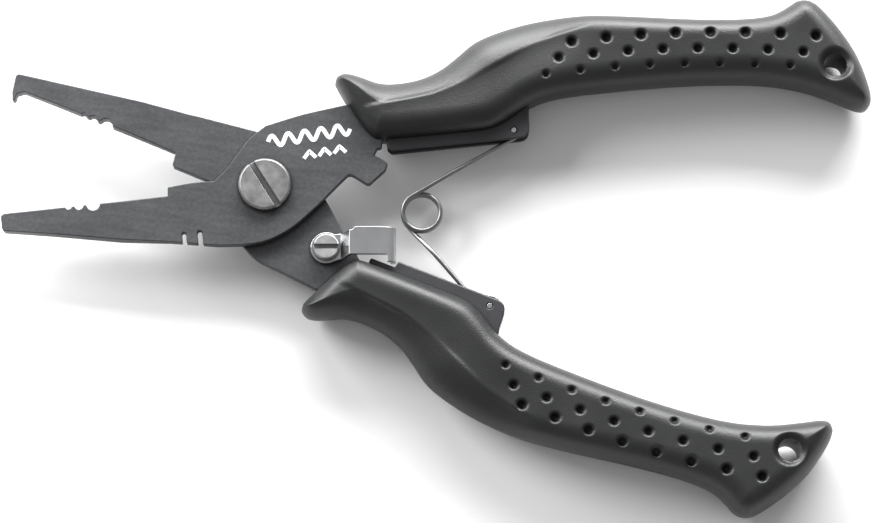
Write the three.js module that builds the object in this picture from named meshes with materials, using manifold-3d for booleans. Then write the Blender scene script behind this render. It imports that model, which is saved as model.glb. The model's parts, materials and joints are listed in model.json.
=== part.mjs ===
// Fishing pliers: two crossed plates on a pivot screw, each with a jaw and a gripped handle,
// pushed apart by a torsion spring and locked shut by a swinging latch lever.
//
// Millimetres, +Z up. The pliers lie flat: the pivot axis is +Z, and +X runs from the pivot
// between the two handles. The origin is the centre of the pivot nut's rear face.
// Every outline is drawn with the pliers closed, so the bite line is the X axis. The front
// half (lower jaw, upper handle) and the rear half (upper jaw, lower handle) then turn apart
// by half the opening angle each.

import * as THREE from 'three';
import { mergeVertices } from 'three/addons/utils/BufferGeometryUtils.js';
import Module from 'manifold-3d';

// ---- Driving dimensions ----

const OPENING_DEG = 27.5; // turn of one half against the other, from shut to open
const HALF_OPENING = THREE.MathUtils.degToRad(OPENING_DEG / 2);

// Heights. The two plates lie one over the other at the pivot, and beyond the lap each bends
// over to the mid-plane, so that the jaws meet edge to edge.
const MID = 4.4; // mid-plane of the pliers above the nut's rear face
const LAP_GAP = 0.1; // between the two lap layers
const PLATE_HALF = 2.05; // outer face of either plate at the pivot, from the mid-plane
const JAW_HALF = 1.5; // half of the jaw's thickness at its root
const TIP_HALF = 1.1; // the same beyond the jaw tip
const FRONT_LAYER = [MID + LAP_GAP / 2, MID + PLATE_HALF];
const REAR_LAYER = [MID - PLATE_HALF, MID - LAP_GAP / 2];

// Pivot
const SHANK_RADIUS = 2.45;
const SLEEVE_RADIUS = 3.2;
const PIVOT_HOLE_RADIUS = 3.25;
const HEAD_RADIUS = 5.0;
const HEAD_HEIGHT = 1.6;
const HEAD_SLOT_WIDTH = 1.15;
const HEAD_SLOT_DEPTH = 1.0;
const HEAD_SLOT_TURN_DEG = -50;
const WASHER_RADIUS = 5.0;
const WASHER_HEIGHT = 0.45;
const NUT_RADIUS = 4.6; // across corners
const NUT_FLOOR = 0.6; // the cap that closes the nut's bore
const SEAT_GAP = 0.05; // between pieces that bear on each other

// Jaws
const JAW_TIP = 50.6; // front jaw's reach from the pivot
const BITE_GAP = 0.1; // from each jaw's edge to the bite line
const HOOK_REACH = 51.1; // inner radius of the hook that passes the front jaw's tip
const LAP_END = -18.9; // the plates cross only on this side of here
const JAW_ROOT = -28; // each has bent over to the mid-plane here
const PAST_JAW = 60; // beyond either jaw's tip
const PAST_TANG = 80; // beyond either tang's end
const CRIMP_NOTCHES = [[-37.6, 0.6], [-35.6, 0.85], [-32.9, 1.3]]; // [x, radius]
const COIL_SLOTS = [[-16.2, 0.8], [-13.2, 0.95]]; // [x, width] of the slots in the jaw's back
const COIL_SLOT_TOP = -7.9;

// Handles
const GRIP_HALF = 6.2; // half of the grip's thickness
const CORE_HALF = 3.3; // half of the hard core's thickness, inside the grip
const WEB_HALF = 1.75; // half of the thickness of the web that covers the spring legs
const WEB_EDGE = 4.3; // web's free edge, from the bite line
const CORE_GAP = 0.15; // between the core and the grip around it
const TANG_GAP = 0.1; // between the plate's tang and the core around it
const LANYARD_HOLE = { x: 110.6, y: 11.6, radius: 2.2 };

// Spring
const PIN = new THREE.Vector2(48.3, 6.0); // spring pin in a handle's web, pliers closed
const PIN_RADIUS = 0.5;
const COIL = new THREE.Vector2(30.15, -0.4); // coil centre with the pliers open
const COIL_Z = MID - 1.62; // the coil sits behind the front plate's latch tab
const COIL_RADIUS = 3.6;
const COIL_PITCH = 0.95;
const COIL_TURNS = 2; // whole turns, before the part turn between the legs
const COIL_SPLIT = 0.1; // axial gap where the coil's two halves part
const WIRE_RADIUS = 0.42;
const EYE_RADIUS = 1.05; // upper leg's eye, which turns on its pin
const LOOSE_EYE_RADIUS = 1.6; // lower leg's eye, which floats on its pin
const LOOSE_EYE_SHIFT = 0.49; // how far that eye starts off its pin, towards the bite line
const EYE_TURN = THREE.MathUtils.degToRad(280);

// Latch lever
const LATCH = new THREE.Vector2(15.32, -6.82); // its screw, pliers closed
const LATCH_TURN = THREE.MathUtils.degToRad(21.55); // lever's direction at rest
const LATCH_HEAD_RADIUS = 2.5;
const LATCH_HEAD_HEIGHT = 1.4;
const LATCH_SHANK_RADIUS = 1.3;
const LATCH_WASHER_HEIGHT = 0.3;
const LATCH_SHEET = 1.0; // thickness of the lever's sheet
const LATCH_EYE_RADIUS = 3.0;
const LATCH_TOP = 8.3; // top face of the raised arm
const LATCH_REACH = 13.2; // outside of the rolled-down end
const LATCH_LIP_Z = 6.65; // the broad lip stops here, above the front plate
const TONGUE_Z = 4.95; // the tongue goes on down to here, behind the tab
const TONGUE_EDGE = -1.75; // the tongue stays on this side of the lever's middle line

// ---- Solids ----

const wasm = await Module();
wasm.setup();

// A manifold solid from a closed three.js geometry.
function solid(geometry) {
  const bare = geometry.clone();
  bare.deleteAttribute('normal');
  bare.deleteAttribute('uv');
  const merged = mergeVertices(bare, 1e-4);
  return new wasm.Manifold(new wasm.Mesh({
    numProp: 3,
    vertProperties: new Float32Array(merged.attributes.position.array),
    triVerts: new Uint32Array(merged.index.array),
  }));
}

function geometryOf(body) {
  const mesh = body.getMesh();
  const geometry = new THREE.BufferGeometry();
  geometry.setAttribute('position', new THREE.BufferAttribute(mesh.vertProperties, 3));
  geometry.setIndex(new THREE.BufferAttribute(mesh.triVerts, 1));
  geometry.computeVertexNormals();
  return geometry;
}

// An outline extruded between two heights.
function slab(shape, low, high, curveSegments = 4) {
  const geometry = new THREE.ExtrudeGeometry(shape, {
    depth: high - low, bevelEnabled: false, curveSegments,
  });
  return solid(geometry.translate(0, 0, low));
}

function cylinder(radius, low, high, x = 0, y = 0, segments = 40) {
  const geometry = new THREE.CylinderGeometry(radius, radius, high - low, segments);
  geometry.rotateX(Math.PI / 2);
  return solid(geometry.translate(x, y, (low + high) / 2));
}

function box(width, depth, low, high, turn = 0, x = 0, y = 0) {
  const geometry = new THREE.BoxGeometry(width, depth, high - low);
  geometry.rotateZ(turn);
  return solid(geometry.translate(x, y, (low + high) / 2));
}

// A round profile of [radius, height] corners, turned about the pivot axis.
function turned(profile, segments = 40) {
  const points = profile.map(([radius, height]) => new THREE.Vector2(radius, height));
  const geometry = new THREE.LatheGeometry([...points, points[0]], segments);
  geometry.rotateX(Math.PI / 2);
  return solid(geometry);
}

const vectors = (pairs) => pairs.map(([x, y]) => new THREE.Vector2(x, y));

// Straight lines from the outline's last point through these corners.
function lines(shape, pairs) {
  pairs.forEach(([x, y]) => shape.lineTo(x, y));
}

// ---- Plates ----

// The front plate: jaw below the bite line, crescent over the pivot, latch tab and tang.
function frontPlateShape() {
  const shape = new THREE.Shape();
  shape.moveTo(-JAW_TIP, -0.5);
  lines(shape, [[-JAW_TIP + 0.65, -BITE_GAP], [-18.6, -BITE_GAP], [-18.45, 1.6]]);
  shape.splineThru(vectors([[-13.4, 2.0], [-9.6, 1.85]]));
  shape.splineThru(vectors([[-6.9, 4.1], [-4.8, 6.5], [-2.2, 9.4], [1.2, 11.7]]));
  shape.splineThru(vectors([[8.5, 13.2], [16.5, 14.2]]));
  lines(shape, [[24, 13.4], [32, 13.9], [44, 17.6], [62, 20.6]]);
  shape.quadraticCurveTo(65, 19, 62.5, 17);
  lines(shape, [[48, 14.3], [36, 10.8], [26, 10.2], [23.5, 8], [22.8, 5.1], [21.9, 5.0]]);
  latchTab(shape);
  shape.splineThru(vectors([[9.3, -5.1], [4.1, -8.8], [-0.7, -10.7], [-5.3, -11.05]]));
  lines(shape, [[-9.8, -10.7], [-17, -9.4], [-28.4, -7.5], [-40.9, -5.1]]);
  lines(shape, [[-JAW_TIP + 0.45, -3.5], [-JAW_TIP + 0.05, -3.0]]);
  return shape;
}

// The tab that the latch holds: its end is an arc about the latch screw's closed place.
function latchTab(shape) {
  const holdRadius = 12.15;
  shape.lineTo(21.2, 3.7);
  shape.absarc(LATCH.x, LATCH.y, holdRadius, THREE.MathUtils.degToRad(60.5),
    THREE.MathUtils.degToRad(46.5), true);
  lines(shape, [[23.1, 0.7], [20.2, -1.5]]);
  shape.quadraticCurveTo(19.6, -2.0, 19.1, -1.5);
  lines(shape, [[16.9, 0.2]]);
  shape.quadraticCurveTo(16.2, 0.7, 15.6, 0.2);
  shape.lineTo(12.0, -2.8);
}

// The rear plate: hooked jaw above the bite line, round pivot eye and a neck to the tang.
function rearPlateShape() {
  const shape = new THREE.Shape();
  shape.moveTo(-HOOK_REACH - 1.65, 2.6);
  shape.quadraticCurveTo(-HOOK_REACH - 1.55, 3.3, -HOOK_REACH - 0.85, 3.35);
  lines(shape, [[-38.5, 5.3], [-17, 8.45], [-5.4, 9.8]]);
  shape.splineThru(vectors([[1.5, 9.6], [7.2, 6.4], [11.7, 2.0]]));
  lines(shape, [[17.3, -2.6], [20.6, -5.2], [23.8, -8.2], [26, -10.2], [36, -10.8]]);
  lines(shape, [[48, -14.3], [62.5, -17]]);
  shape.quadraticCurveTo(65, -19, 62, -20.6);
  lines(shape, [[44, -17.6], [32, -13.9], [24, -13.4], [19.5, -13.9], [16.5, -14.8]]);
  lines(shape, [[8.3, -14]]);
  shape.splineThru(vectors([[4, -13.6], [0.6, -12.2], [-5.2, -8.9], [-9.6, -2.75]]));
  lines(shape, [[-17.9, -2.55], [-18.3, -2.1], [-18.6, BITE_GAP], [-43.5, 0.35]]);
  lines(shape, [[-HOOK_REACH + 1.15, 0.35], [-HOOK_REACH, -0.5], [-HOOK_REACH + 0.1, -1.75]]);
  lines(shape, [[-HOOK_REACH - 0.35, -2.05], [-HOOK_REACH - 1.05, -0.5]]);
  return shape;
}

// Side view of a plate, side 1 for the front one: flat at the pivot, then a bend over to the
// mid-plane and a taper to the tip.
function plateSideView(side) {
  const gap = LAP_GAP / 2;
  const outer = [[PAST_TANG, PLATE_HALF], [LAP_END, PLATE_HALF], [JAW_ROOT, JAW_HALF],
    [-PAST_JAW, TIP_HALF]];
  const inner = [[-PAST_JAW, -TIP_HALF], [JAW_ROOT, -JAW_HALF], [LAP_END, gap],
    [PAST_TANG, gap]];
  const width = 80;
  const profile = new THREE.Shape(vectors([...outer, ...inner].map(([x, z]) => [x, side * z])));
  const geometry = new THREE.ExtrudeGeometry(profile, { depth: width, bevelEnabled: false });
  geometry.translate(0, 0, -width / 2);
  geometry.rotateX(Math.PI / 2);
  return solid(geometry.translate(0, 0, MID));
}

function plate(shape, side) {
  let body = slab(shape, 0, 2 * MID).intersect(plateSideView(side));
  body = body.subtract(cylinder(PIVOT_HOLE_RADIUS, 0, 2 * MID));
  for (const [x, radius] of CRIMP_NOTCHES) {
    body = body.subtract(cylinder(radius, 0, 2 * MID, x, 0, 16));
  }
  return body;
}

function frontPlate() {
  let body = plate(frontPlateShape(), 1);
  for (const [x, width] of COIL_SLOTS) {
    body = body.subtract(box(width, 8, 0, 2 * MID, 0, x, COIL_SLOT_TOP - 4));
    body = body.subtract(cylinder(width / 2, 0, 2 * MID, x, COIL_SLOT_TOP, 12));
  }
  return body;
}

function rearPlate() {
  const hole = cylinder(LATCH_SHANK_RADIUS + SEAT_GAP, 0, 2 * MID, LATCH.x, LATCH.y, 24);
  return plate(rearPlateShape(), -1).subtract(hole);
}

// ---- Pivot ----

const WASHER_TOP = REAR_LAYER[0] - SEAT_GAP;
const NUT_TOP = WASHER_TOP - WASHER_HEIGHT - SEAT_GAP;
const HEAD_LOW = FRONT_LAYER[1] + SEAT_GAP;

// The slotted pivot screw: a chamfered head over the front plate and a plain shank.
function pivotScrew() {
  const top = HEAD_LOW + HEAD_HEIGHT;
  const chamfer = 0.35;
  const end = NUT_FLOOR + SEAT_GAP;
  const body = turned([[0, end], [SHANK_RADIUS, end], [SHANK_RADIUS, HEAD_LOW],
    [HEAD_RADIUS, HEAD_LOW], [HEAD_RADIUS, top - chamfer], [HEAD_RADIUS - chamfer, top],
    [0, top]], 48);
  const turn = THREE.MathUtils.degToRad(HEAD_SLOT_TURN_DEG);
  return body.subtract(box(2.5 * HEAD_RADIUS, HEAD_SLOT_WIDTH, top - HEAD_SLOT_DEPTH,
    top + 1, turn));
}

function ring(inner, outer, low, high) {
  return turned([[inner, low], [outer, low], [outer, high], [inner, high]]);
}

// A closed cap nut, so that its rear face is solid at the pivot axis.
function pivotNut() {
  const hex = solid(new THREE.CylinderGeometry(NUT_RADIUS, NUT_RADIUS, NUT_TOP, 6)
    .rotateX(Math.PI / 2).translate(0, 0, NUT_TOP / 2));
  return hex.subtract(cylinder(SHANK_RADIUS + SEAT_GAP, NUT_FLOOR, 2 * MID));
}

// ---- Handles ----

// A grip's outline: flared finger guard, thumb hollow, swell, waist and hooked tail.
function gripShape() {
  const shape = new THREE.Shape();
  shape.moveTo(15.2, 18.4);
  shape.splineThru(vectors([[15.5, 19.9], [17.4, 20.6], [20.5, 19.5], [24.5, 17.9],
    [30.8, 18.0], [35.6, 19.6], [39.3, 22.0], [42.6, 24.3], [47, 25.8], [53, 27.0],
    [60, 27.5], [67, 27.0], [75, 25.9], [82, 24.8], [88, 24.0], [94.5, 23.4], [99.5, 23.5],
    [102.5, 24.5], [105.2, 26.0]]));
  shape.quadraticCurveTo(107.5, 26.6, 109, 24.9);
  shape.splineThru(vectors([[110.8, 22.6], [113.3, 18.6], [115.7, 13.3], [117.1, 7.0],
    [117.0, 4.4]]));
  shape.quadraticCurveTo(116.2, 2.4, 114.2, 3.4);
  shape.splineThru(vectors([[107.2, 7.2], [102.5, 9.0], [98.5, 10.1], [93, 11.0], [85.5, 11.7],
    [77, 12.1], [68, 12.2], [60, 12.1], [54.8, 11.5], [51.4, 10.3]]));
  shape.splineThru(vectors([[48.2, 8.3], [44.6, 6.7], [40, 6.4]]));
  lines(shape, [[22.6, 6.5], [21.2, 7.0], [19.2, 9.9]]);
  return shape;
}

// The hard core inside the grip. grow widens it all round, to cut the space it fills.
function coreShape(grow) {
  const upper = [[19.4, 15.4], [24, 15.4], [32, 15.9], [40, 19.4], [48, 22.6], [60, 24.0],
    [76, 22.6], [92, 20.4]];
  const lower = [[101, 12.6], [92, 14.4], [76, 15.2], [60, 15.2], [52, 14.0], [47, 11.2],
    [41, 9.3], [24.2, 9.3]];
  const shape = new THREE.Shape();
  const [first, ...rest] = upper.map(([x, y]) => [x, y + grow]);
  shape.moveTo(first[0] - grow, first[1]);
  shape.splineThru(vectors(rest));
  shape.quadraticCurveTo(104 + 2 * grow, 19, 101 + grow, 12.6 - grow);
  lines(shape, lower.map(([x, y]) => [x - grow, y - grow]));
  lines(shape, [[19.4 - grow, 13.5]]);
  return shape;
}

function webShape(grow) {
  const shape = new THREE.Shape();
  const [left, right, edge] = [23.9 - grow, 51.5 + grow, WEB_EDGE - grow];
  shape.moveTo(left, 9.9);
  lines(shape, [[left, edge + 0.8], [left + 0.8, edge], [right - 2.2, edge]]);
  shape.quadraticCurveTo(right - 0.2, edge, right - 0.1, edge + 2.4);
  lines(shape, [[right, 9.0], [right + 1, 14.5], [44, 12]]);
  return shape;
}

function coreBody(grow) {
  const thick = slab(coreShape(grow), MID - CORE_HALF - grow, MID + CORE_HALF + grow, 2);
  return thick.add(slab(webShape(grow), MID - WEB_HALF - grow, MID + WEB_HALF + grow));
}

// The tang's pocket is the plate's own outline with room round it.
function tangPocket() {
  const shape = new THREE.Shape(vectors([[10, 16.4], [19.3, 14.3], [24, 13.7], [31.9, 14.2],
    [43.9, 17.9], [61, 21.0], [65.6, 19], [63, 16.6], [48.2, 13.9], [36.2, 10.45], [26.2, 9.85],
    [23.85, 7.8], [23.7, 4.0], [10, 4.0]]));
  return slab(shape, FRONT_LAYER[0] - TANG_GAP, FRONT_LAYER[1] + TANG_GAP);
}

// The slot along the web's middle, which takes the spring leg when the handles close.
function springSlot() {
  const slotHalf = 1.1;
  const shape = new THREE.Shape(vectors([[20, 2], [20, 6.8], [44, 8.9], [51, 8.9], [51, 2]]));
  return slab(shape, MID - slotHalf, MID + slotHalf);
}

function handleCore() {
  const pinHole = cylinder(PIN_RADIUS + SEAT_GAP, 0, 2 * MID, PIN.x, PIN.y, 16);
  return coreBody(0).subtract(tangPocket()).subtract(springSlot()).subtract(pinHole);
}

// The lower web is cut back where the latch tongue hangs with the lever at rest, and where
// the coil comes with the handles shut.
function webRelief() {
  const tongue = new THREE.Shape(vectors([[20, 0], [29.6, 0], [28.9, 5.6], [20, 5.6]]));
  const coil = new THREE.Shape(vectors([[20, 0], [33.4, 0], [32.8, 6.2], [20, 6.2]]));
  // The handle is drawn turned over, so what is behind the mid-plane is drawn above it.
  return slab(tongue, 0, 2 * MID).add(slab(coil, MID, 2 * MID));
}

function handleGrip() {
  const bevel = 2.0;
  const inset = 1.3;
  const geometry = new THREE.ExtrudeGeometry(gripShape(), {
    depth: 2 * (GRIP_HALF - bevel), curveSegments: 2,
    bevelThickness: bevel, bevelSize: inset, bevelOffset: -inset, bevelSegments: 3,
  });
  const outer = solid(geometry.translate(0, 0, MID - GRIP_HALF + bevel));
  const { x, y, radius } = LANYARD_HOLE;
  const hole = cylinder(radius, -10, 20, x, y, 24);
  return outer.subtract(coreBody(CORE_GAP)).subtract(tangPocket()).subtract(hole);
}

function springPin() {
  return cylinder(PIN_RADIUS, MID - WEB_HALF, MID + WEB_HALF, PIN.x, PIN.y, 12);
}

// ---- Spring ----

const pinOpen = PIN.clone().rotateAround(new THREE.Vector2(), HALF_OPENING);

// Centre line of one half of the spring, from its eye to the coil's middle. side is 1 for
// the half at the upper handle and -1 for the half at the lower one, which is drawn mirrored.
// pass is -1 for a leg that crosses to the pin's inner side and 1 for one that keeps outside.
// The parameter runs evenly over the eye, the leg and the coil, with more steps on the coil.
class WireHalf extends THREE.Curve {
  constructor(side, pass, eyeRadius, eyeShift) {
    super();
    this.side = side;
    this.pass = pass;
    this.eyeRadius = eyeRadius;
    this.eye = new THREE.Vector2(pinOpen.x - COIL.x, pinOpen.y - side * COIL.y - eyeShift);
    const leanIn = Math.asin((COIL_RADIUS - pass * eyeRadius) / this.eye.length());
    this.legAngle = this.eye.angle() - leanIn;
    this.halfWrap = Math.PI - (this.legAngle + Math.PI / 2) + COIL_TURNS * Math.PI;
    this.steps = { eye: 10, leg: 9, coil: 30 };
    this.total = this.steps.eye + this.steps.leg + this.steps.coil;
  }

  // Steps are even in the parameter, not in length.
  getUtoTmapping(u) {
    return u;
  }

  eyePoint(share) {
    const angle = this.legAngle + this.pass * (Math.PI / 2 - EYE_TURN * (1 - share));
    return new THREE.Vector2(this.eyeRadius, 0).rotateAround(new THREE.Vector2(), angle)
      .add(this.eye);
  }

  coilPoint(share) {
    const angle = this.legAngle + Math.PI / 2 + this.halfWrap * share;
    return new THREE.Vector2(COIL_RADIUS, 0).rotateAround(new THREE.Vector2(), angle);
  }

  getPoint(t) {
    const step = t * this.total;
    const { eye, leg, coil } = this.steps;
    const coilStart = COIL_PITCH * this.halfWrap / (2 * Math.PI) + COIL_SPLIT;
    const legStart = COIL_Z + this.side * coilStart;
    let flat;
    let height;
    if (step <= eye) {
      flat = this.eyePoint(step / eye);
      height = MID;
    } else if (step <= eye + leg) {
      const share = (step - eye) / leg;
      flat = this.eyePoint(1).lerp(this.coilPoint(0), share);
      height = THREE.MathUtils.lerp(MID, legStart, THREE.MathUtils.smoothstep(share, 0.62, 1));
    } else {
      const share = (step - eye - leg) / coil;
      flat = this.coilPoint(share);
      height = legStart - this.side * (coilStart - COIL_SPLIT) * share;
    }
    return new THREE.Vector3(flat.x, flat.y * this.side, height);
  }
}

function springHalf(side, pass, eyeRadius, eyeShift) {
  const section = new THREE.Shape();
  section.absarc(0, 0, WIRE_RADIUS, 0, 2 * Math.PI);
  const path = new WireHalf(side, pass, eyeRadius, eyeShift);
  const geometry = new THREE.ExtrudeGeometry(section, {
    steps: path.total, curveSegments: 4, bevelEnabled: false, extrudePath: path,
  });
  return solid(geometry.translate(COIL.x, COIL.y, 0));
}

// ---- Latch ----

const LATCH_WASHER_LOW = REAR_LAYER[1] + SEAT_GAP;
const LATCH_EYE_LOW = LATCH_WASHER_LOW + LATCH_WASHER_HEIGHT + SEAT_GAP;

// Side view of the lever: flat eye, step up to the arm, and the end rolled down. It is drawn
// in x and z, then extruded across the lever's width.
function latchSideView() {
  const top = LATCH_TOP;
  const rollX = 9.2;
  const rollZ = LATCH_LIP_Z - 0.1;
  const sheet = LATCH_SHEET;
  const shape = new THREE.Shape();
  shape.moveTo(-4, LATCH_EYE_LOW);
  lines(shape, [[3.3, LATCH_EYE_LOW], [4.9, top - sheet], [rollX, top - sheet]]);
  shape.absellipse(rollX, rollZ, LATCH_REACH - sheet - rollX, top - sheet - rollZ,
    Math.PI / 2, 0, true);
  lines(shape, [[LATCH_REACH - sheet, TONGUE_Z], [LATCH_REACH, TONGUE_Z]]);
  shape.absellipse(rollX, rollZ, LATCH_REACH - rollX, top - rollZ, 0, Math.PI / 2, false);
  lines(shape, [[4.4, top], [2.8, LATCH_EYE_LOW + sheet], [-4, LATCH_EYE_LOW + sheet]]);
  return shape;
}

// Plan view: round eye, narrow neck and broad arm with the tongue at its lower corner.
function latchPlanView() {
  const shape = new THREE.Shape();
  shape.moveTo(1.5, 2.6);
  lines(shape, [[5.0, 3.0], [5.4, 3.6], [12.9, 3.6], [LATCH_REACH + 1, 3.3]]);
  lines(shape, [[LATCH_REACH + 1, -3.1], [11.6, -3.1], [11.6, TONGUE_EDGE],
    [4.6, TONGUE_EDGE]]);
  lines(shape, [[1.5, -2.6]]);
  shape.absarc(0, 0, LATCH_EYE_RADIUS, -Math.PI / 3, Math.PI / 3, true);
  return shape;
}

function latchLever() {
  const side = new THREE.ExtrudeGeometry(latchSideView(), {
    depth: 12, bevelEnabled: false, curveSegments: 8,
  });
  side.rotateX(Math.PI / 2);
  side.translate(0, 6, 0);
  const bent = solid(side).intersect(slab(latchPlanView(), 0, 12, 24));
  const aboveLip = box(6, 8, 0, LATCH_LIP_Z, 0, 13, TONGUE_EDGE + 4);
  const hole = cylinder(LATCH_SHANK_RADIUS + SEAT_GAP, 0, 2 * MID, 0, 0, 24);
  return bent.subtract(aboveLip).subtract(hole);
}

// The latch's shoulder screw: slotted cheese head and a shank through the rear plate.
function latchScrew() {
  const low = LATCH_EYE_LOW + LATCH_SHEET + SEAT_GAP;
  const top = low + LATCH_HEAD_HEIGHT;
  const chamfer = 0.25;
  const slotWidth = 0.8;
  const body = turned([[0, REAR_LAYER[0]], [LATCH_SHANK_RADIUS, REAR_LAYER[0]],
    [LATCH_SHANK_RADIUS, low], [LATCH_HEAD_RADIUS, low], [LATCH_HEAD_RADIUS, top - chamfer],
    [LATCH_HEAD_RADIUS - chamfer, top], [0, top]], 32);
  return body.subtract(box(3 * LATCH_HEAD_RADIUS, slotWidth, top - 0.7, top + 1));
}

function latchWasher() {
  return ring(LATCH_SHANK_RADIUS + SEAT_GAP, LATCH_EYE_RADIUS - 0.1, LATCH_WASHER_LOW,
    LATCH_WASHER_LOW + LATCH_WASHER_HEIGHT);
}

// ---- Materials ----

const coated = { color: 0x55575a, roughness: 0.5, metalness: 0.85 };
const screwSteel = { color: 0x8f9193, roughness: 0.4, metalness: 0.95 };
const bareSteel = { color: 0xb5b8bc, roughness: 0.3, metalness: 1.0 };
const springSteel = { color: 0x7d7a7a, roughness: 0.35, metalness: 1.0 };
const hardPlastic = { color: 0x303236, roughness: 0.55, metalness: 0.0 };
const softGrip = { color: 0x2b2d2e, roughness: 0.75, metalness: 0.0 };

function piece(name, body, finish) {
  const mesh = new THREE.Mesh(geometryOf(body), new THREE.MeshStandardMaterial(finish));
  mesh.name = name;
  return mesh;
}

// ---- Assembly ----

// The pieces both handles have. The lower handle is the upper one turned half way round the
// X axis at the mid-plane.
function handle(name, core) {
  const group = new THREE.Group();
  group.add(piece(`${name}_handle_core`, core, hardPlastic));
  group.add(piece(`${name}_handle_grip`, handleGrip(), softGrip));
  group.add(piece(`${name}_spring_pin`, springPin(), bareSteel));
  return group;
}

function frontHalf() {
  const group = new THREE.Group();
  group.add(piece('front_plate', frontPlate(), coated));
  group.add(handle('upper', handleCore()));
  group.rotation.z = HALF_OPENING;
  return group;
}

function latch() {
  const group = new THREE.Group();
  group.add(piece('latch_lever', latchLever(), bareSteel));
  group.add(piece('latch_screw', latchScrew(), screwSteel));
  group.add(piece('latch_washer', latchWasher(), screwSteel));
  group.position.set(LATCH.x, LATCH.y, 0);
  group.rotation.z = LATCH_TURN;
  return group;
}

function rearHalf() {
  const group = new THREE.Group();
  const lowerHandle = handle('lower', handleCore().subtract(webRelief()));
  lowerHandle.rotation.x = Math.PI;
  lowerHandle.position.z = 2 * MID;
  group.add(piece('rear_plate', rearPlate(), coated));
  group.add(lowerHandle);
  group.add(latch());
  group.rotation.z = -HALF_OPENING;
  return group;
}

function pivot() {
  const group = new THREE.Group();
  const sleeve = ring(SHANK_RADIUS + SEAT_GAP, SLEEVE_RADIUS, REAR_LAYER[0], FRONT_LAYER[1]);
  const washer = ring(SHANK_RADIUS + SEAT_GAP, WASHER_RADIUS, WASHER_TOP - WASHER_HEIGHT,
    WASHER_TOP);
  group.add(piece('pivot_screw', pivotScrew(), screwSteel));
  group.add(piece('pivot_sleeve', sleeve, bareSteel));
  group.add(piece('pivot_washer', washer, bareSteel));
  group.add(piece('pivot_nut', pivotNut(), screwSteel));
  return group;
}

const pliers = new THREE.Group();
pliers.add(frontHalf());
pliers.add(rearHalf());
pliers.add(pivot());
pliers.add(piece('spring_upper_half', springHalf(1, -1, EYE_RADIUS, 0), springSteel));
pliers.add(piece('spring_lower_half',
  springHalf(-1, 1, LOOSE_EYE_RADIUS, LOOSE_EYE_SHIFT), springSteel));

export default pliers;
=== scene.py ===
"""Fishing pliers: the looks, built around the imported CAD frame.

Sizes are in millimetres and turned into metres by MM; lamps, the floor and the camera's
distance are in metres. Outlines drawn "closed" have the bite line on the X axis, as the
pliers are with the handles shut; each half then turns by HALF_OPENING."""

import json
import math

import bmesh
import bpy
import numpy as np
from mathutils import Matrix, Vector


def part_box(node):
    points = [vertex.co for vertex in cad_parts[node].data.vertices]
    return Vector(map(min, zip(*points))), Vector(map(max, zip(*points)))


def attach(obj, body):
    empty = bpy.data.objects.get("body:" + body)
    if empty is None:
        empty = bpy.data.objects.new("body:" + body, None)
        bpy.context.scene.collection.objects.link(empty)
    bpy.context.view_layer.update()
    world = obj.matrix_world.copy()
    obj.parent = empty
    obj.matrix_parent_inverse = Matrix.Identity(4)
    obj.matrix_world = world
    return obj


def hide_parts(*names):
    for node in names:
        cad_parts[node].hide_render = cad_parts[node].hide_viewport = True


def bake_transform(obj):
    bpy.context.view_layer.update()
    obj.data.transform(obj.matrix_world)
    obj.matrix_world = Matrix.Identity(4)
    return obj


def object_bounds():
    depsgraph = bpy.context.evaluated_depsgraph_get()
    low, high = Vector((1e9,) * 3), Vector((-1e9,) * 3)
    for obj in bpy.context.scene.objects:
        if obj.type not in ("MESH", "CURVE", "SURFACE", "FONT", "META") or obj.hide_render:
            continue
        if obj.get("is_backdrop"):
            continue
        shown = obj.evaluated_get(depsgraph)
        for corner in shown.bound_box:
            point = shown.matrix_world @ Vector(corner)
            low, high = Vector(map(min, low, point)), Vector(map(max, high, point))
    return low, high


MM = 0.001
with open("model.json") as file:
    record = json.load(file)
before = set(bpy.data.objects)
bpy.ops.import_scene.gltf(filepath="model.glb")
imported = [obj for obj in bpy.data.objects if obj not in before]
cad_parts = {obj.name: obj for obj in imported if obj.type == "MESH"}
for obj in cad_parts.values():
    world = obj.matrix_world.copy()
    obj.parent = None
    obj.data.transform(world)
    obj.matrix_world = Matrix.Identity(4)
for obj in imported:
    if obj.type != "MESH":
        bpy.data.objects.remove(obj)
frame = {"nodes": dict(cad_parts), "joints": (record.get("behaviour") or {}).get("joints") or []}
cad_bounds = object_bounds()
joints = {joint["name"]: joint for joint in frame["joints"]}

# ---- Driving dimensions ----

HALF_OPENING = math.radians(joints["pivot"]["range_deg"][1] / 2)
MID = joints["pivot"]["pos_m"][2] / MM  # mid-plane of the pliers
PLATE_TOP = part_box("front_plate")[1].z / MM

# Grips
GRIP_HALF = 6.1  # half thickness at the crown
EDGE_ROUND = 4.6  # how far the rounding reaches in from the outline
SLOPE_ROUND = 8.5  # the same on the broad slope behind the finger guard
STEP_DEPTH = 0.55  # panel below the crease, under the slope above it
GRIP_COLUMNS = 330
GRIP_ROWS = 84
WALL_RISE = 2.0  # from the CAD grip's low face up to its upright wall
GUARD_CORNER = (16.6, 20.5)  # the outline's four corners, between which the grid is stretched
HEEL_CORNER = (107.4, 26.2)
TAIL_CORNER = (116.6, 3.2)
THROAT_CORNER = (21.6, 6.7)
DIMPLE_DEPTH = 1.15
DIMPLE_COLUMNS = 8
DIMPLE_START = 61  # outer dimple of the first column
DIMPLE_PITCH = 6.65
DIMPLE_SLANT = 2.8  # how far each row in stands back from the one outside it
DIMPLE_ROW_GAP = 2.95
DIMPLE_CROWN = 66  # where the rows are highest
DIMPLE_BEND = 0.0022  # how fast they fall away from there
DIMPLE_RADII = (1.3, 1.15, 0.95)  # outer, middle and inner row
DIMPLE_ROWS = {1: 21.3, -1: 22.2}  # crown of the outer row, by the face it is on
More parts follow.
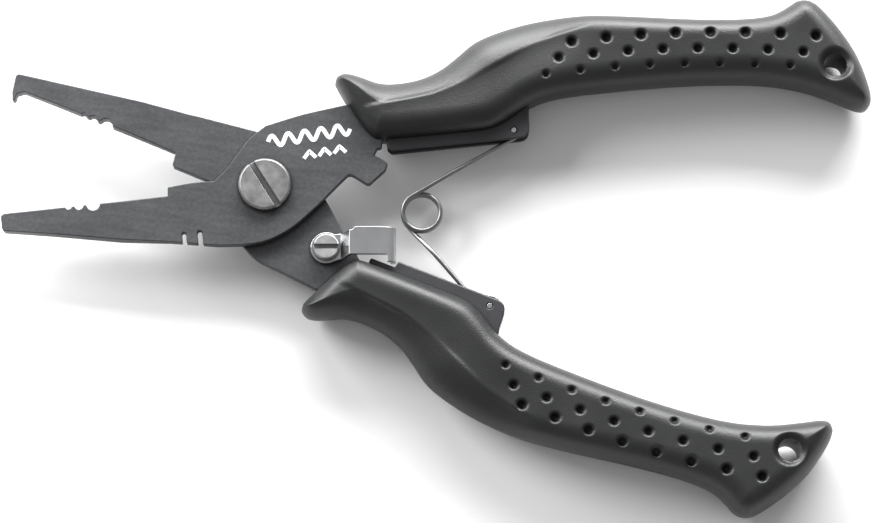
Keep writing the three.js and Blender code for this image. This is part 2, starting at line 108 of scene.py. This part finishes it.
INNER_ROW_RISE = {1: 0.1, -1: 0}  # rise of the inner row from one column to the next
HOLE = Vector((110.6, 11.6))
HOLE_RADIUS = 2.2
HOLE_FUNNEL = 3.5  # radius where the countersink begins
FUNNEL_DEPTH = 1.3
SPRING_SLOT = ((30, 4), (30, 7.7), (44, 8.9), (51, 8.9), (51, 4))  # hidden inside the web
SLOT_HALF = 1.1

# Spring
WIRE_RADIUS = 0.42
COIL_RADIUS = 3.6
COIL_PITCH = 0.97
COIL_TURNS = 2
EYE_RADIUS = 1.05  # upper leg's, close on its pin
LOOSE_EYE_RADIUS = 1.6  # lower leg's, which floats on its pin
LOOSE_EYE_SHIFT = 0.49  # how far it starts off the pin, towards the bite line
EYE_TURN = math.radians(280)
EYE_STEPS = 28
LEG_STEPS = 24
COIL_STEPS = 120
WIRE_SIDES = 14

# Printed marks
PRINT_LIFT = 0.012  # thickness of the ink
PRINT_GAP = 0.002  # between the ink and the plate
WAVE_PERIODS = 5
CHEVRONS = 3

# Camera
CAMERA_AZIMUTH = math.radians(7.8)
CAMERA_ELEVATION = math.radians(77.5)
CAMERA_DISTANCE = 0.70  # metres, as is the width
VIEW_WIDTH = 0.1659  # of the plane through the target
VIEW_CENTRE = (34.3, -9.8)


def smoothstep(low, high, x):
    t = np.clip((np.asarray(x, float) - low) / (high - low), 0, 1)
    return t * t * (3 - 2 * t)


# ---- Materials ----


class Nodes:
    """A short way to build a node material around one Principled shader."""

    def __init__(self, name):
        self.material = bpy.data.materials.new(name)
        self.material.use_nodes = True
        self.tree = self.material.node_tree
        self.shader = self.tree.nodes["Principled BSDF"]
        self.place = self.add("ShaderNodeTexCoord").outputs["Object"]

    def add(self, kind, **values):
        node = self.tree.nodes.new(kind)
        for key, value in values.items():
            setattr(node, key, value)
        return node

    def link(self, source, target):
        self.tree.links.new(source, target)

    def noise(self, scale, detail=4.0, stretch=None, roughness=0.55):
        """Noise with a scale in features per metre, stretched along one axis if asked."""
        node = self.add("ShaderNodeTexNoise")
        node.inputs["Scale"].default_value = scale
        node.inputs["Detail"].default_value = detail
        node.inputs["Roughness"].default_value = roughness
        place = self.place
        if stretch:
            mapping = self.add("ShaderNodeMapping")
            mapping.inputs["Scale"].default_value = stretch
            self.link(self.place, mapping.inputs["Vector"])
            place = mapping.outputs["Vector"]
        self.link(place, node.inputs["Vector"])
        return node.outputs["Fac"]

    def ramp(self, factor, stops):
        """A ramp through (position, colour) stops. A plain number is a grey."""
        node = self.add("ShaderNodeValToRGB")
        elements = node.color_ramp.elements
        while len(elements) < len(stops):
            elements.new(0.5)
        for element, (position, colour) in zip(elements, stops):
            element.position = position
            rgb = colour if isinstance(colour, tuple) else (colour,) * 3
            element.color = (*rgb, 1)
        self.link(factor, node.inputs["Fac"])
        return node.outputs["Color"]

    def mix(self, factor, a, b):
        node = self.add("ShaderNodeMix", data_type="RGBA")
        self.link(factor, node.inputs["Factor"])
        self.link(a, node.inputs["A"])
        self.link(b, node.inputs["B"])
        return node.outputs["Result"]

    def multiply(self, a, b):
        node = self.add("ShaderNodeMix", data_type="RGBA", blend_type="MULTIPLY")
        node.inputs["Factor"].default_value = 1.0
        self.link(a, node.inputs["A"])
        self.link(b, node.inputs["B"])
        return node.outputs["Result"]

    def bump(self, height, distance, strength=1.0, under=None):
        node = self.add("ShaderNodeBump")
        node.inputs["Strength"].default_value = strength
        node.inputs["Distance"].default_value = distance
        self.link(height, node.inputs["Height"])
        if under:
            self.link(under, node.inputs["Normal"])
        return node.outputs["Normal"]

    def edges(self, radius):
        """A mask that is 1 along edges, from the bevelled normal."""
        bevel = self.add("ShaderNodeBevel", samples=6)
        bevel.inputs["Radius"].default_value = radius
        geometry = self.add("ShaderNodeNewGeometry")
        dot = self.add("ShaderNodeVectorMath", operation="DOT_PRODUCT")
        self.link(bevel.outputs["Normal"], dot.inputs[0])
        self.link(geometry.outputs["Normal"], dot.inputs[1])
        return self.ramp(dot.outputs["Value"], [(0.80, 1.0), (0.97, 0.0)])

    def openness(self, distance):
        """1 on open faces, and less in slots and against steps within the distance."""
        shade = self.add("ShaderNodeAmbientOcclusion", samples=8)
        shade.inputs["Distance"].default_value = distance
        return shade.outputs["AO"]

    def painted_shade(self, colour, openness, darkest=0.25):
        """The colour, darkened by painted shade where the ambient occlusion is low: in slots, creases and
        against steps.
        """
        return self.multiply(colour, self.ramp(openness, [(0.35, darkest), (0.85, 1.0)]))

    def finish(self, colour=None, roughness=None, normal=None, metallic=None):
        for name, socket in (("Base Color", colour), ("Roughness", roughness),
                             ("Normal", normal)):
            if socket is not None:
                self.link(socket, self.shader.inputs[name])
        if metallic is not None:
            self.shader.inputs["Metallic"].default_value = metallic
        return self.material


def coated_steel():
    """Dark grey coating over steel: fine orange-peel, faint rolling streaks, painted shade in the
    seams and against steps, and edges painted darker than the faces as painted seam shadow."""
    n = Nodes("coated_steel")
    streaks = n.noise(900, stretch=(0.12, 1.0, 1.0))
    cloud = n.noise(90)
    base = n.ramp(cloud, [(0.3, (0.078, 0.080, 0.085)), (0.7, (0.104, 0.106, 0.111))])
    speck = n.ramp(n.noise(1400, detail=3), [(0.35, 0.80), (0.65, 1.0)])
    # Painted shade: edges and the seam between the plates are painted darker than the faces, as the shadow
    # line along the seam.
    edge = n.ramp(streaks, [(0.3, 0.018), (0.7, 0.032)])
    colour = n.mix(n.edges(0.22 * MM), n.multiply(base, speck), edge)
    roughness = n.ramp(streaks, [(0.25, 0.44), (0.75, 0.58)])
    grain = n.bump(n.noise(5200, detail=3), 0.012 * MM)
    normal = n.bump(streaks, 0.008 * MM, under=grain)
    # Painted shade: the colour darkens in the seams, slots and against steps, by ambient occlusion.
    return n.finish(n.painted_shade(colour, n.openness(1.3 * MM), 0.06), roughness, normal, 0.75)


def bright_steel(name, grey, stretch, rough=(0.24, 0.34)):
    """Bare sheet or wire: fine brushing along one direction."""
    n = Nodes(name)
    brushing = n.noise(7600, detail=3, stretch=stretch)
    cloud = n.noise(160)
    tint = (grey * 0.99, grey, grey * 1.02)
    dark = tuple(0.82 * c for c in tint)
    colour = n.ramp(cloud, [(0.3, dark), (0.7, tint)])
    roughness = n.ramp(brushing, [(0.3, rough[0]), (0.7, rough[1])])
    # Painted shade: the colour darkens in gaps and against steps, by ambient occlusion.
    colour = n.painted_shade(colour, n.openness(0.5 * MM))
    return n.finish(colour, roughness, n.bump(brushing, 0.0008 * MM), 1.0)


def turned_steel(name, grey, centre):
    """A screw head faced on a lathe: fine rings about its own axis."""
    n = Nodes(name)
    shift = n.add("ShaderNodeVectorMath", operation="SUBTRACT")
    n.link(n.place, shift.inputs[0])
    shift.inputs[1].default_value = (centre[0], centre[1], 0)
    flat = n.add("ShaderNodeVectorMath", operation="MULTIPLY")
    n.link(shift.outputs["Vector"], flat.inputs[0])
    flat.inputs[1].default_value = (1, 1, 0)
    length = n.add("ShaderNodeVectorMath", operation="LENGTH")
    n.link(flat.outputs["Vector"], length.inputs[0])
    rings = n.add("ShaderNodeTexNoise", noise_dimensions="1D")
    rings.inputs["Scale"].default_value = 9000
    rings.inputs["Detail"].default_value = 3
    n.link(length.outputs["Value"], rings.inputs["W"])
    cloud = n.noise(420)
    colour = n.ramp(cloud, [(0.3, grey * 0.72), (0.72, grey)])
    roughness = n.ramp(cloud, [(0.3, 0.38), (0.7, 0.5)])
    # Painted shade: the slot and the rim against the plate darken by ambient occlusion.
    colour = n.painted_shade(colour, n.openness(0.9 * MM), 0.05)
    return n.finish(colour, roughness, n.bump(rings.outputs["Fac"], 0.004 * MM), 0.95)


def soft_grip():
    """Soft matt elastomer: fine sandblasted mould texture, painted shade in the dimples, the creases and
    where the grip comes near the floor, and a sheen turned down in these hollows by the same ambient
    occlusion.
    """
    n = Nodes("soft_grip")
    grain = n.noise(3800, detail=3)
    cloud = n.noise(70)
    colour = n.ramp(cloud, [(0.3, (0.0120, 0.0124, 0.0130)), (0.7, (0.0175, 0.018, 0.0186))])
    roughness = n.ramp(cloud, [(0.3, 0.37), (0.7, 0.45)])
    openness = n.openness(2.2 * MM)
    # Painted shade: dimples, creases and edges near the floor darken by ambient occlusion, and the sheen
    # is cut there as well.
    colour = n.painted_shade(colour, openness, 0.12)
    sheen_cut_in_shade = n.ramp(openness, [(0.4, 0.05), (0.9, 0.5)])
    n.link(sheen_cut_in_shade, n.shader.inputs["Specular IOR Level"])
    return n.finish(colour, roughness, n.bump(grain, 0.06 * MM, 0.9), 0.0)


def hard_plastic():
    """Moulded nylon of the handle cores: slightly glossier than the grip, with spark grain."""
    n = Nodes("hard_plastic")
    grain = n.noise(2600, detail=2)
    cloud = n.noise(110)
    colour = n.ramp(cloud, [(0.3, (0.021, 0.021, 0.024)), (0.7, (0.029, 0.030, 0.034))])
    roughness = n.ramp(grain, [(0.3, 0.42), (0.7, 0.55)])
    # Painted shade: the colour darkens in recesses and against steps, by ambient occlusion.
    colour = n.painted_shade(colour, n.openness(0.8 * MM))
    return n.finish(colour, roughness, n.bump(grain, 0.03 * MM, 0.6), 0.0)


def pad_print():
    """White pad-printed ink, slightly thin at places."""
    n = Nodes("pad_print")
    wear = n.noise(1500, detail=5)
    colour = n.ramp(wear, [(0.28, (0.45, 0.46, 0.47)), (0.42, (0.82, 0.83, 0.84))])
    return n.finish(colour, n.ramp(wear, [(0.3, 0.45), (0.7, 0.6)]), None, 0.0)


# ---- Mesh helpers ----


def add_mesh(name, vertices, faces, material, smooth=True):
    mesh = bpy.data.meshes.new(name)
    mesh.from_pydata([tuple(v) for v in vertices], [], faces)
    mesh.update()
    piece = bpy.data.objects.new(name, mesh)
    bpy.context.scene.collection.objects.link(piece)
    mesh.materials.append(material)
    mesh.polygons.foreach_set("use_smooth", [smooth] * len(mesh.polygons))
    return piece


def repaint(node, material, bevel=0.0, segments=2):
    """A CAD node keeps its shape: its edges are eased and it takes a new material."""
    piece = frame["nodes"][node]
    mesh = piece.data
    if "custom_normal" in mesh.attributes:
        mesh.attributes.remove(mesh.attributes["custom_normal"])
    mesh.materials.clear()
    mesh.materials.append(material)
    mesh.polygons.foreach_set("use_smooth", [True] * len(mesh.polygons))
    weld = piece.modifiers.new("weld", "WELD")
    weld.merge_threshold = 1e-6
    flat = piece.modifiers.new("flat", "DECIMATE")
    flat.decimate_type = "DISSOLVE"
    flat.angle_limit = math.radians(0.5)
    if bevel:
        ease = piece.modifiers.new("ease", "BEVEL")
        ease.width = bevel * MM
        ease.segments = segments
        ease.limit_method = "ANGLE"
        ease.angle_limit = math.radians(35)
        ease.use_clamp_overlap = False
        ease.harden_normals = True
    normals = piece.modifiers.new("normals", "WEIGHTED_NORMAL")
    normals.keep_sharp = True
    return piece


def turn_half(points, angle):
    """Points drawn closed, as an (n, 3) array in millimetres, turned to the open pose."""
    c, s = math.cos(angle), math.sin(angle)
    turn = np.array([[c, -s, 0], [s, c, 0], [0, 0, 1]])
    return points @ turn.T


# ---- Grips ----


def grip_outline():
    """The grip's outline from its CAD solid, closed pose, as an ordered loop of points."""
    mesh = frame["nodes"]["upper_handle_grip"].data
    co = np.array([v.co for v in mesh.vertices]) / MM
    low = co[:, 2].min()
    levels = np.unique(np.round(co[:, 2], 3))
    wall = levels[np.abs(levels - low - WALL_RISE) < 0.1][0]
    on_wall = np.abs(co[:, 2] - wall) < 1e-3
    keys = [tuple(np.round(p[:2], 3)) for p in co]
    nexts = {}
    for edge in mesh.edges:
        a, b = edge.vertices
        if on_wall[a] and on_wall[b] and keys[a] != keys[b]:
            nexts.setdefault(keys[a], set()).add(keys[b])
            nexts.setdefault(keys[b], set()).add(keys[a])
    start = max(nexts, key=lambda p: p[0] + p[1])
    loop, seen = [start], {start}
    while True:
        onward = [p for p in nexts[loop[-1]] if p not in seen]
        if not onward:
            break
        loop.append(min(onward))
        seen.add(loop[-1])
    return turn_half(np.array([(x, y, 0) for x, y in loop]), -HALF_OPENING)[:, :2]


def gathered(count, ease):
    """count shares from 0 to 1, even if ease is 0 and closer at both ends if it is more."""
    t = np.linspace(0, 1, count)
    return (1 - ease) * t + ease * (0.5 - 0.5 * np.cos(math.pi * t))


def resample(points, shares):
    """The points at these shares of a polyline's length."""
    steps = np.linalg.norm(np.diff(points, axis=0), axis=1)
    along = np.concatenate([[0], np.cumsum(steps)])
    x = np.interp(shares * along[-1], along, points[:, 0])
    y = np.interp(shares * along[-1], along, points[:, 1])
    return np.stack([x, y], 1)


def smooth_loop(loop, rounds=3):
    """Chaikin corner cutting, which turns the facets of a curve into a smooth line."""
    for _ in range(rounds):
        after = np.roll(loop, -1, axis=0)
        loop = np.stack([0.75 * loop + 0.25 * after, 0.25 * loop + 0.75 * after], 1)
        loop = loop.reshape(-1, 2)
    return loop


def between(loop, first, last):
    """The stretch of the loop from the point nearest first to the one nearest last."""
    a = int(np.argmin(np.linalg.norm(loop - first, axis=1)))
    b = int(np.argmin(np.linalg.norm(loop - last, axis=1)))
    if b < a:
        return np.concatenate([loop[a:], loop[: b + 1]])
    return loop[a: b + 1]


def distance_to(loop, points):
    """Distance from each point to the closed loop."""
    a = loop
    ab = np.roll(loop, -1, axis=0) - a
    length2 = np.maximum((ab ** 2).sum(1), 1e-12)
    best = np.full(len(points), 1e9)
    for start in range(0, len(points), 4000):
        p = points[start: start + 4000]
        ap = p[:, None, :] - a[None]
        t = np.clip((ap * ab[None]).sum(2) / length2, 0, 1)
        gap = ap - t[..., None] * ab[None]
        best[start: start + 4000] = np.sqrt((gap ** 2).sum(2)).min(1)
    return best


def crease_y(x):
    """The crease that parts the thumb slope from the side panel, closed pose."""
    return np.interp(x, [20, 33.6, 41.1, 46.7, 53.9, 58.8, 70],
                     [12.6, 14.0, 16.1, 18.4, 21.7, 23.1, 25.2])


def round_over(distance, reach, power):
    """Height share of a rounded edge, from 0 on the outline to 1 at reach."""
    t = 1 - np.clip(distance / reach, 0, 1)
    return (1 - t ** power) ** (1 / power)


def grip_height(points, distance):
    """Half thickness of the grip at each point of its plan, before the dimples."""
    x, y = points[:, 0], points[:, 1]
    offset = y - crease_y(x)
    fade = smoothstep(19, 27, x) * (1 - smoothstep(56, 66, x))
    above = smoothstep(-0.5, 0.7, offset) * fade
    plain = GRIP_HALF * round_over(distance, EDGE_ROUND, 2.2)
    slope = GRIP_HALF * round_over(distance, SLOPE_ROUND, 1.75)
    panel = plain - STEP_DEPTH * fade * smoothstep(-7, -0.5, offset) * np.clip(plain / 3, 0, 1)
    return panel * (1 - above) + np.maximum(slope, 0) * above


def dimples(face):
    """(x, y, radius) of every dimple, closed pose: slanted columns of three."""
    for column in range(DIMPLE_COLUMNS):
        for row, radius in enumerate(DIMPLE_RADII):
            head = DIMPLE_START + DIMPLE_PITCH * column
            x = head - DIMPLE_SLANT * row
            fall = DIMPLE_BEND * (head - DIMPLE_CROWN) ** 2
            y = DIMPLE_ROWS[face] - fall - DIMPLE_ROW_GAP * row
            if row == len(DIMPLE_RADII) - 1:
                y += INNER_ROW_RISE[face] * column
            yield x, y, radius


def sunk(points, face):
    """How far the dimples and the hole's funnel sink a face at each point."""
    depth = np.zeros(len(points))
    for x, y, radius in dimples(face):
        reach = np.hypot(points[:, 0] - x, points[:, 1] - y) / radius
        bowl = DIMPLE_DEPTH * radius / DIMPLE_RADII[0] * (1 - smoothstep(0.2, 1, reach))
        depth = np.maximum(depth, bowl)
    reach = np.hypot(points[:, 0] - HOLE.x, points[:, 1] - HOLE.y)
    funnel = FUNNEL_DEPTH * (1 - smoothstep(HOLE_RADIUS - 0.2, HOLE_FUNNEL, reach))
    return np.maximum(depth, funnel)


def grip_plan(loop):
    """A grid of plan points stretched over the outline from its four corner points."""
    along, across = gathered(GRIP_COLUMNS, 0.25), gathered(GRIP_ROWS, 0.6)
    outer = resample(between(loop, GUARD_CORNER, HEEL_CORNER), along)
    tail = resample(between(loop, HEEL_CORNER, TAIL_CORNER), across)[::-1]
    inner = resample(between(loop, TAIL_CORNER, THROAT_CORNER), along)[::-1]
    front = resample(between(loop, THROAT_CORNER, GUARD_CORNER), across)
    u = along[:, None, None]
    v = across[None, :, None]
    sides = (1 - v) * inner[:, None] + v * outer[:, None]
    ends = (1 - u) * front[None] + u * tail[None]
    corners = ((1 - u) * (1 - v) * inner[0] + u * (1 - v) * inner[-1]
               + (1 - u) * v * outer[0] + u * v * outer[-1])
    return sides + ends - corners


def grip_mesh(name, material, turned_over):
    """A closed pillow over the outline: front and back sheets that meet along its rim."""
    loop = grip_outline()
    area = np.cross(loop, np.roll(loop, -1, axis=0)).sum()
    if area > 0:
        loop = loop[::-1]
    loop = smooth_loop(loop)
    grid = grip_plan(loop)
    plan = grid.reshape(-1, 2)
    distance = distance_to(loop, plan)
    rim = np.zeros(grid.shape[:2], bool)
    rim[0], rim[-1], rim[:, 0], rim[:, -1] = True, True, True, True
    distance[rim.ravel()] = 0
    full = grip_height(plan, distance)
    sheets = []
    for face in (1, -1):
        height = np.where(distance > 0, np.maximum(full - sunk(plan, face), 0.05), 0)
        sheets.append(np.column_stack([plan, MID + face * height]))
    top, bottom = sheets
    count = len(plan)
    lower = np.arange(count) + count
    lower[rim.ravel()] = np.arange(count)[rim.ravel()]
    index = np.arange(count).reshape(grid.shape[:2])
    faces = []
    for i in range(GRIP_COLUMNS - 1):
        for j in range(GRIP_ROWS - 1):
            corner = (index[i, j], index[i + 1, j], index[i + 1, j + 1], index[i, j + 1])
            faces.append(tuple(int(k) for k in corner))
            faces.append(tuple(int(lower[k]) for k in reversed(corner)))
    points = np.concatenate([top, bottom])
    if turned_over:
        points = points * [1, -1, -1] + [0, 0, 2 * MID]
    points = turn_half(points, -HALF_OPENING if turned_over else HALF_OPENING) * MM
    piece = add_mesh(name, points, faces, material)
    tidy_mesh(piece)
    cut_openings(piece, turned_over)
    return piece


def tidy_mesh(piece):
    """Drops the rim points that no face uses and faces everything outwards."""
    work = bmesh.new()
    work.from_mesh(piece.data)
    loose = [v for v in work.verts if not v.link_faces]
    bmesh.ops.delete(work, geom=loose, context="VERTS")
    bmesh.ops.recalc_face_normals(work, faces=work.faces)
    work.to_mesh(piece.data)
    work.free()


def cut(piece, outline, half, turned_over):
    """Cuts an outline, drawn closed, out of a grip to half each side of the mid-plane."""
    count = len(outline)
    low = np.column_stack([outline, np.full(count, MID - half)])
    high = np.column_stack([outline, np.full(count, MID + half)])
    points = np.concatenate([low, high])
    if turned_over:
        points = points * [1, -1, -1] + [0, 0, 2 * MID]
    points = turn_half(points, -HALF_OPENING if turned_over else HALF_OPENING) * MM
    walls = [(k, (k + 1) % count, count + (k + 1) % count, count + k) for k in range(count)]
    caps = [tuple(reversed(range(count))), tuple(range(count, 2 * count))]
    cutter = add_mesh("cutter", points, walls + caps, piece.data.materials[0], smooth=False)
    tidy_mesh(cutter)
    difference = piece.modifiers.new("cut", "BOOLEAN")
    difference.object = cutter
    difference.operation = "DIFFERENCE"
    difference.solver = "EXACT"
    graph = bpy.context.evaluated_depsgraph_get()
    made = bpy.data.meshes.new_from_object(piece.evaluated_get(graph))
    piece.modifiers.clear()
    piece.data = made
    bpy.data.objects.remove(cutter)


def cut_openings(piece, turned_over):
    """The lanyard hole right through the tail, and the slot that takes the spring's leg."""
    sides = 48
    angles = [2 * math.pi * k / sides for k in range(sides)]
    ring = np.array([[HOLE.x + HOLE_RADIUS * math.cos(a), HOLE.y + HOLE_RADIUS * math.sin(a)]
                     for a in angles])
    cut(piece, ring, 2 * GRIP_HALF, turned_over)
    cut(piece, np.array(SPRING_SLOT), SLOT_HALF, turned_over)


def add_grips(material):
    for name, body, over in (("upper", "front_half", False), ("lower", "rear_half", True)):
        piece = grip_mesh(f"{name}_soft_grip", material, over)
        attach(piece, body)
        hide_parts(f"{name}_handle_grip")


# ---- Spring ----


def spring_half(side, crossing, eye_radius, eye_shift):
    """Points (x, y, z) and the coil share of one half, from its eye to the coil's middle.
    side is 1 at the upper handle and -1 at the lower one; crossing is -1 for a leg that
    passes its pin on the inner side and 1 for one that keeps outside."""
    coil = Vector(joints["spring_coil"]["pos_m"]) / MM
    pin = Vector(joints["spring_eye"]["pos_m"]) / MM
    eye = Vector((pin.x - coil.x, pin.y - side * coil.y - eye_shift))
    lean = math.asin((COIL_RADIUS - crossing * eye_radius) / eye.length)
    leg = math.atan2(eye.y, eye.x) - lean
    wrap = math.pi - (leg + math.pi / 2) + COIL_TURNS * math.pi
    top = coil.z + side * COIL_PITCH * wrap / (2 * math.pi)
    points = []
    for k in range(EYE_STEPS + 1):
        a = leg + crossing * (math.pi / 2 - EYE_TURN * (1 - k / EYE_STEPS))
        points.append((eye.x + eye_radius * math.cos(a), eye.y + eye_radius * math.sin(a),
                       MID, 0))
    near, far = points[-1], (-COIL_RADIUS * math.sin(leg), COIL_RADIUS * math.cos(leg))
    for k in range(1, LEG_STEPS):
        s = k / LEG_STEPS
        points.append((near[0] * (1 - s) + far[0] * s, near[1] * (1 - s) + far[1] * s,
                       MID + (top - MID) * float(smoothstep(0.62, 1, s)), 0))
    for k in range(COIL_STEPS + 1):
        s = k / COIL_STEPS
        a = leg + math.pi / 2 + wrap * s
        points.append((COIL_RADIUS * math.cos(a), COIL_RADIUS * math.sin(a),
                       top + (coil.z - top) * s, s / 2))
    return np.array(points) * [1, side, 1, 1] + [coil.x, coil.y, 0, 0]


def spring_path():
    """Centre line of the whole spring and, for each point, its share along the coil."""
    upper = spring_half(1, -1, EYE_RADIUS, 0)
    lower = spring_half(-1, 1, LOOSE_EYE_RADIUS, LOOSE_EYE_SHIFT)[-2::-1]
    lower[:, 3] = 1 - lower[:, 3]
    whole = np.concatenate([upper, lower])
    return whole[:, :3], whole[:, 3]


def sweep(points, radius, sides):
    """A closed tube along points with parallel-transported rings."""
    tangents = np.gradient(points, axis=0)
    tangents /= np.linalg.norm(tangents, axis=1)[:, None]
    normal = np.cross(tangents[0], [0, 0, 1.0])
    normal /= np.linalg.norm(normal)
    rings = []
    for point, tangent in zip(points, tangents):
        normal = normal - tangent * (normal @ tangent)
        normal /= np.linalg.norm(normal)
        side = np.cross(tangent, normal)
        for k in range(sides):
            a = 2 * math.pi * k / sides
            rings.append(point + radius * (math.cos(a) * normal + math.sin(a) * side))
    faces = []
    for i in range(len(points) - 1):
        for k in range(sides):
            a, b = i * sides + k, i * sides + (k + 1) % sides
            faces.append((a, b, b + sides, a + sides))
    last = (len(points) - 1) * sides
    faces.append(tuple(reversed(range(sides))))
    faces.append(tuple(range(last, last + sides)))
    return np.array(rings), faces


def add_spring(material):
    points, shares = spring_path()
    rings, faces = sweep(points, WIRE_RADIUS, WIRE_SIDES)
    piece = add_mesh("torsion_spring", rings * MM, faces, material)
    tidy_mesh(piece)
    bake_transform(piece)
    # Each ring's share along the coil, worked out here but not put on the mesh.
    weights = np.repeat(shares, WIRE_SIDES).astype(np.float32)
    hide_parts("spring_upper_half", "spring_lower_half")


# ---- Printed marks ----


def ribbon(points, width):
    """A flat strip along points on the front plate, as vertices and faces."""
    along = np.gradient(points, axis=0)
    along /= np.linalg.norm(along, axis=1)[:, None]
    across = np.column_stack([-along[:, 1], along[:, 0]]) * width / 2
    edge = np.concatenate([points + across, points - across])
    count = len(points)
    faces = [(k, k + 1, count + k + 1, count + k) for k in range(count - 1)]
    return edge, faces


def add_print(material):
    """A plain wave over three chevrons, in place of any printed name."""
    strips = []
    t = np.linspace(0, 1, 90)
    wave = np.column_stack([1.4 + 15.8 * t, 8.5 + 0.9 * t + 1.05 * np.sin(2 * math.pi * WAVE_PERIODS * t)])
    strips.append(ribbon(wave, 0.8))
    for k in range(CHEVRONS):
        x, y = 7.9 + 2.9 * k, 4.5 + 0.2 * k
        chevron = np.array([[x, y], [x + 1.15, y + 1.35], [x + 2.3, y]])
        strips.append(ribbon(resample(chevron, np.linspace(0, 1, 21)), 0.7))
    vertices, faces = [], []
    for edge, strip in strips:
        base = len(vertices)
        low = np.column_stack([edge, np.full(len(edge), PLATE_TOP + PRINT_GAP)])
        high = np.column_stack([edge, np.full(len(edge), PLATE_TOP + PRINT_LIFT)])
        count = len(edge)
        vertices.extend(np.concatenate([low, high]))
        faces.extend(tuple(base + i for i in reversed(face)) for face in strip)
        faces.extend(tuple(base + count + i for i in face) for face in strip)
        half = count // 2
        outline = list(range(half)) + list(range(count - 1, half - 1, -1))
        for a, b in zip(outline, outline[1:] + outline[:1]):
            faces.append((base + a, base + b, base + count + b, base + count + a))
    points = turn_half(np.array(vertices), HALF_OPENING) * MM
    piece = add_mesh("printed_marks", points, faces, material, smooth=False)
    tidy_mesh(piece)
    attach(piece, "front_half")


# ---- CAD nodes ----


def finish_metal():
    plate = coated_steel()
    repaint("front_plate", plate, 0.16)
    repaint("rear_plate", plate, 0.16)
    head = turned_steel("pivot_steel", 0.30, (0, 0))
    for node in ("pivot_screw", "pivot_nut"):
        repaint(node, head, 0.1)
    bare = bright_steel("bare_steel", 0.55, (0.12, 1.0, 1.0), (0.30, 0.34))
    repaint("latch_lever", bare, 0.12)
    for node in ("pivot_sleeve", "pivot_washer", "upper_spring_pin", "lower_spring_pin"):
        repaint(node, bare, 0.05)
    screw = joints["latch_swing"]["pos_m"]
    latch_steel = turned_steel("latch_screw_steel", 0.50, (screw[0], screw[1]))
    repaint("latch_screw", latch_steel, 0.08)
    repaint("latch_washer", latch_steel, 0.04)


def finish_cores():
    plastic = hard_plastic()
    repaint("upper_handle_core", plastic, 0.3, 3)
    repaint("lower_handle_core", plastic, 0.3, 3)


# ---- Stage, light and camera ----


def add_floor():
    material = Nodes("floor")
    dust = material.noise(25, detail=2)
    colour = material.ramp(dust, [(0.3, 0.86), (0.7, 0.88)])
    material.finish(colour, material.ramp(dust, [(0.3, 0.7), (0.7, 0.75)]))
    size = 3.0
    z = cad_bounds[0][2] - 0.2 * MM
    corners = [(-size, -size, z), (size, -size, z), (size, size, z), (-size, size, z)]
    floor = add_mesh("floor", corners, [(0, 1, 2, 3)], material.material, smooth=False)
    floor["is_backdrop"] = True


def add_area(name, place, target, size, power):
    data = bpy.data.lights.new(name, "AREA")
    data.shape = "RECTANGLE"
    data.size, data.size_y = size
    data.energy = power
    lamp = bpy.data.objects.new(name, data)
    bpy.context.scene.collection.objects.link(lamp)
    lamp.location = place
    lamp.rotation_euler = (Vector(target) - Vector(place)).to_track_quat("-Z", "Y").to_euler()
    return lamp


def add_light():
    """A large soft key beyond the upper handle, as in a product photograph: edges that face
    up the picture are bright and those that face down it are dark."""
    world = bpy.data.worlds.new("studio")
    world.use_nodes = True
    sky = world.node_tree.nodes["Background"]
    sky.inputs["Color"].default_value = (1, 1, 1, 1)
    sky.inputs["Strength"].default_value = 0.40
    bpy.context.scene.world = world
    add_area("key", (0.02, 0.85, 0.36), (0.03, 0, 0), (1.1, 0.4), 30.0)
    add_area("fill", (-0.6, 0.3, 0.35), (0.03, 0, 0), (0.4, 0.4), 7.0)
    bpy.context.scene.view_settings.view_transform = "Standard"


def add_camera():
    target = Vector((VIEW_CENTRE[0] * MM, VIEW_CENTRE[1] * MM, MID * MM))
    level = math.cos(CAMERA_ELEVATION)
    away = Vector((math.sin(CAMERA_AZIMUTH) * level, -math.cos(CAMERA_AZIMUTH) * level,
                   math.sin(CAMERA_ELEVATION)))
    data = bpy.data.cameras.new("camera")
    camera = bpy.data.objects.new("camera", data)
    bpy.context.scene.collection.objects.link(camera)
    camera.location = target + away * CAMERA_DISTANCE
    camera.rotation_euler = (-away).to_track_quat("-Z", "Y").to_euler()
    data.sensor_fit = "HORIZONTAL"
    data.angle = 2 * math.atan(VIEW_WIDTH / 2 / CAMERA_DISTANCE)
    data.clip_start = 0.01
    bpy.context.scene.camera = camera


def write_sizes():
    """Both boxes, the CAD model's and the visual model's, as plain lists; they are not written anywhere.
    """
    boxes = {"cad": cad_bounds, "visual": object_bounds()}
    plain = {name: [[float(x) for x in corner] for corner in box]
             for name, box in boxes.items()}


finish_metal()
finish_cores()
add_grips(soft_grip())
add_spring(bright_steel("spring_steel", 0.24, (1.0, 1.0, 1.0), (0.3, 0.42)))
add_print(pad_print())
add_floor()
add_light()
add_camera()
write_sizes()
